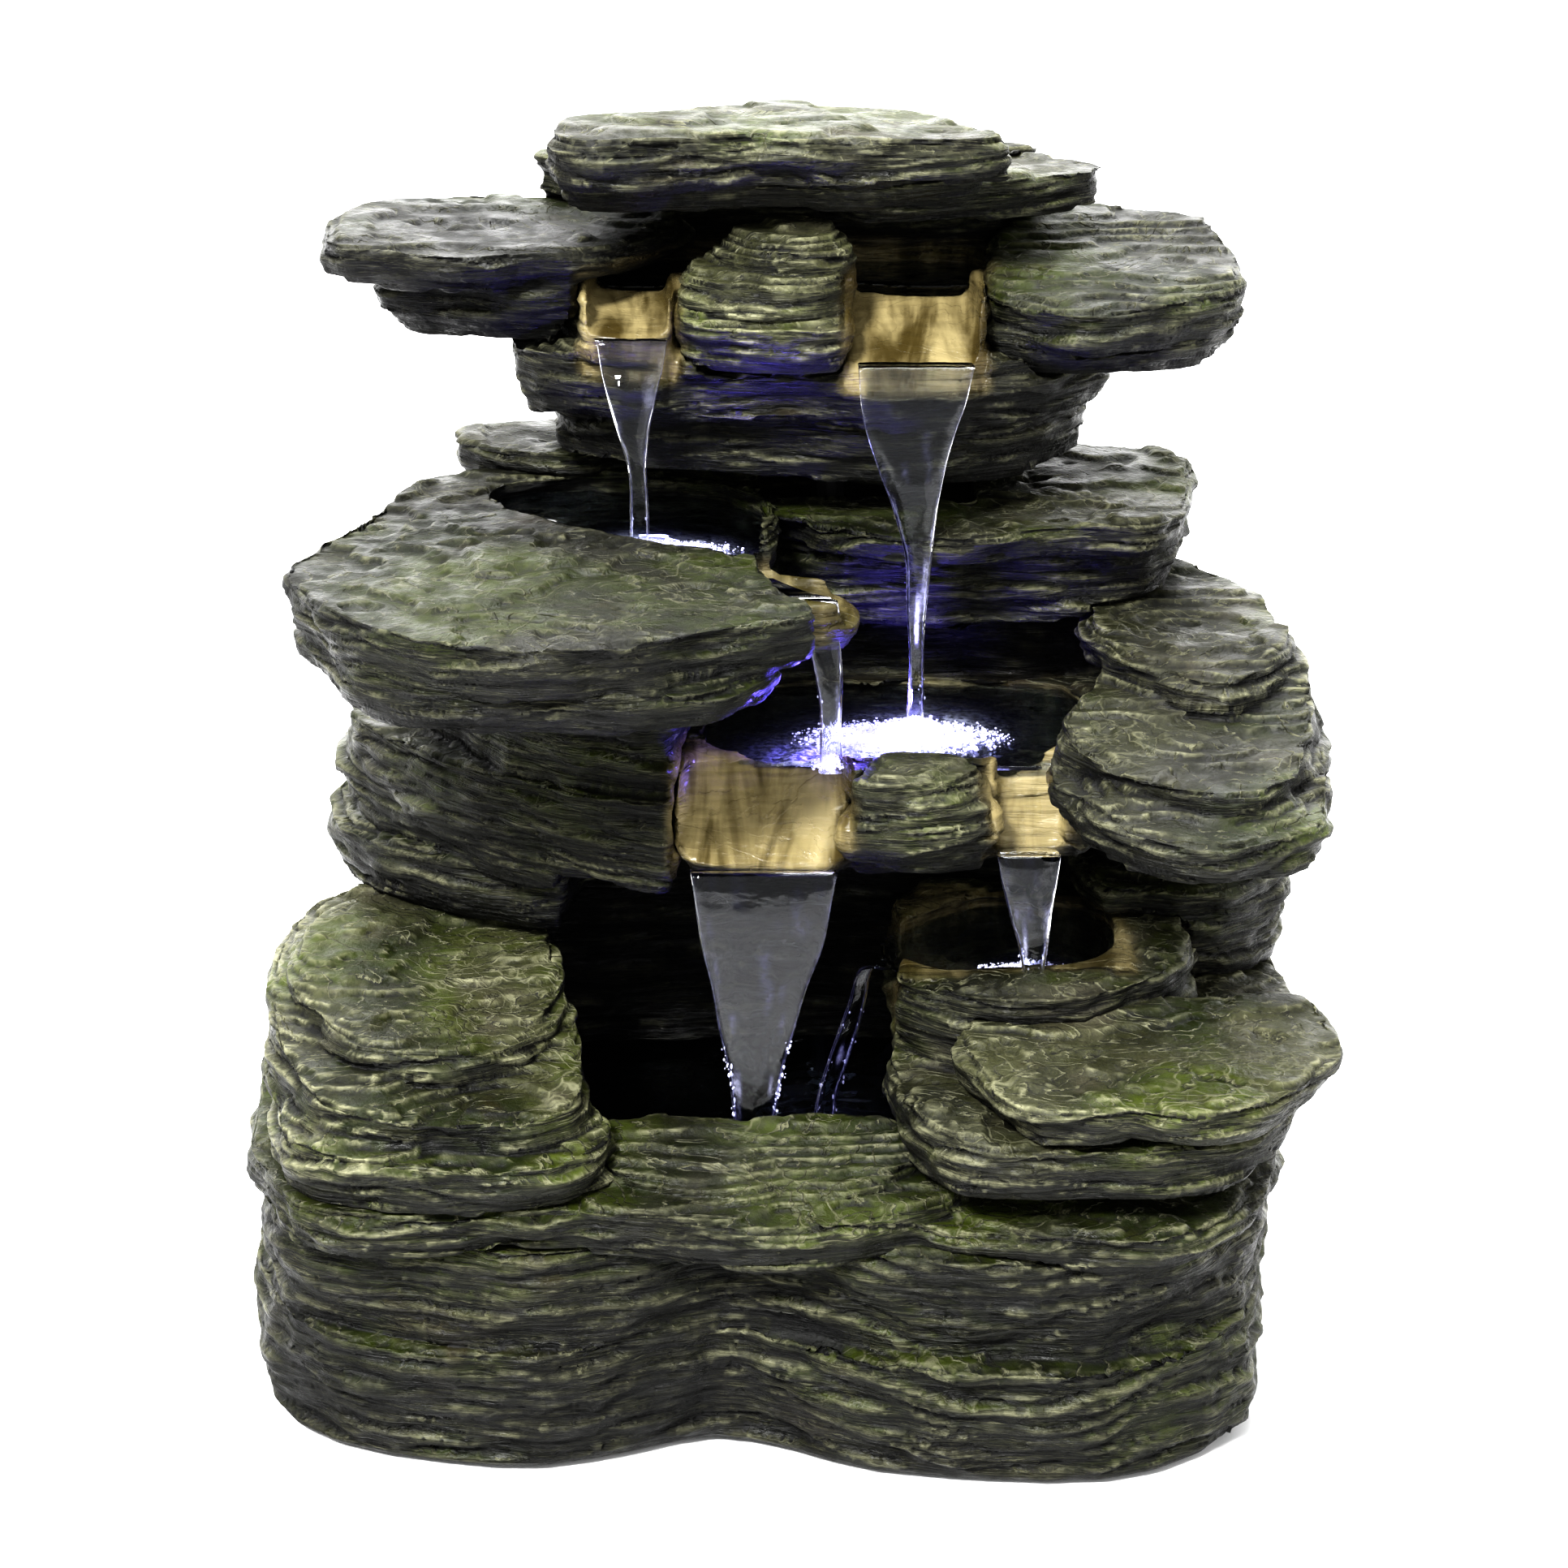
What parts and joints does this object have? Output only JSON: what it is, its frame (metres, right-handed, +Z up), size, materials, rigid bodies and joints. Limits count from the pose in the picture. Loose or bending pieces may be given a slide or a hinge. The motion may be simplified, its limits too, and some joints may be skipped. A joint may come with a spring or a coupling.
{
  "type": "tabletop water fountain",
  "caption": "Tabletop fountain of stacked layered rock with tiered basins, falls spilling between them, a cavern, submersible pump, hose and pool lights.",
  "frame": {"origin": "centre of the bounding box's footprint, on the plane the foot pads rest on", "axes": "+Z up, -Y towards the viewer at the front of the fountain, +X to the viewer's right"},
  "size_m": [0.4468, 0.3302, 0.5],
  "materials": {
    "slate_stone": "wet satin",
    "mossy_stone": "wet satin",
    "ochre_stone": "wet gloss",
    "black_plastic": "matte",
    "grey_plastic": "matte",
    "black_rubber": "matte",
    "steel": "brushed",
    "axle_ceramic": "polished",
    "light_lens": "gloss"
  },
  "bodies": {
    "fountain": {"back_column": "slate_stone", "cable_gland": "black_plastic", "cap_slab_lower": "mossy_stone", "cap_slab_upper": "mossy_stone", "divider_stone": "slate_stone", "flagstone": "slate_stone", "foot_pad_1": "black_rubber", "foot_pad_2": "black_rubber", "foot_pad_3": "black_rubber", "foot_pad_4": "black_rubber", "gland_nut": "black_plastic", "hose_clamp_lower": "steel", "hose_clamp_upper": "steel", "impeller_axle": "axle_ceramic", "inlet_fitting": "black_plastic", "inlet_nut": "black_plastic", "inlet_washer": "black_rubber", "left_boulder": "mossy_stone", "left_crags": "slate_stone", "left_tier": "mossy_stone", "light_junction": "black_plastic", "light_lead_left": "black_plastic", "light_lead_lower": "black_plastic", "light_lead_middle": "black_plastic", "light_lens_left": "light_lens", "light_lens_lower": "light_lens", "light_lens_middle": "light_lens", "light_pod_left": "black_plastic", "light_pod_lower": "black_plastic", "light_pod_middle": "black_plastic", "light_supply_lead": "black_plastic", "middle_basin": "ochre_stone", "outlet_nozzle": "black_plastic", "panel_gasket": "black_rubber", "pump_cable": "black_rubber", "pump_housing": "black_plastic", "reservoir_tub": "slate_stone", "right_basin": "mossy_stone", "right_crag": "mossy_stone", "right_tier": "mossy_stone", "rim_ledge": "mossy_stone", "riser_hose": "black_plastic", "suction_cup_1": "black_rubber", "suction_cup_2": "black_rubber", "suction_cup_3": "black_rubber", "suction_cup_4": "black_rubber", "top_basin": "ochre_stone", "top_left_ledge": "mossy_stone", "top_right_ledge": "mossy_stone", "upper_column": "slate_stone", "wedge_stone": "slate_stone"},
    "impeller": {"impeller": "grey_plastic"},
    "intake_cover": {"intake_cover": "black_plastic"},
    "flow_dial": {"flow_dial": "grey_plastic"},
    "back_panel": {"back_panel": "slate_stone", "panel_screw_1": "steel", "panel_screw_2": "steel", "panel_screw_3": "steel", "panel_screw_4": "steel"},
    "drain_plug": {"drain_plug": "black_rubber"}
  },
  "joints": [
    {"name": "impeller_spin", "type": "hinge", "parent": "fountain", "child": "impeller", "pos_m": [0.0214, 0.0919, 0.036], "axis": [1, 0, 0], "continuous": true},
    {"name": "intake_cover_slide", "type": "slide", "parent": "fountain", "child": "intake_cover", "axis": [-1, 0, 0], "range_m": [0, 0.025]},
    {"name": "flow_dial_turn", "type": "hinge", "parent": "intake_cover", "child": "flow_dial", "pos_m": [-0.0034, 0.0919, 0.036], "axis": [-1, 0, 0], "range_deg": [0, 90]},
    {"name": "back_panel_slide", "type": "slide", "parent": "fountain", "child": "back_panel", "axis": [0, 1, 0], "range_m": [0, 0.06]},
    {"name": "drain_plug_slide", "type": "slide", "parent": "fountain", "child": "drain_plug", "axis": [0, 1, 0], "range_m": [0, 0.03]}
  ]
}
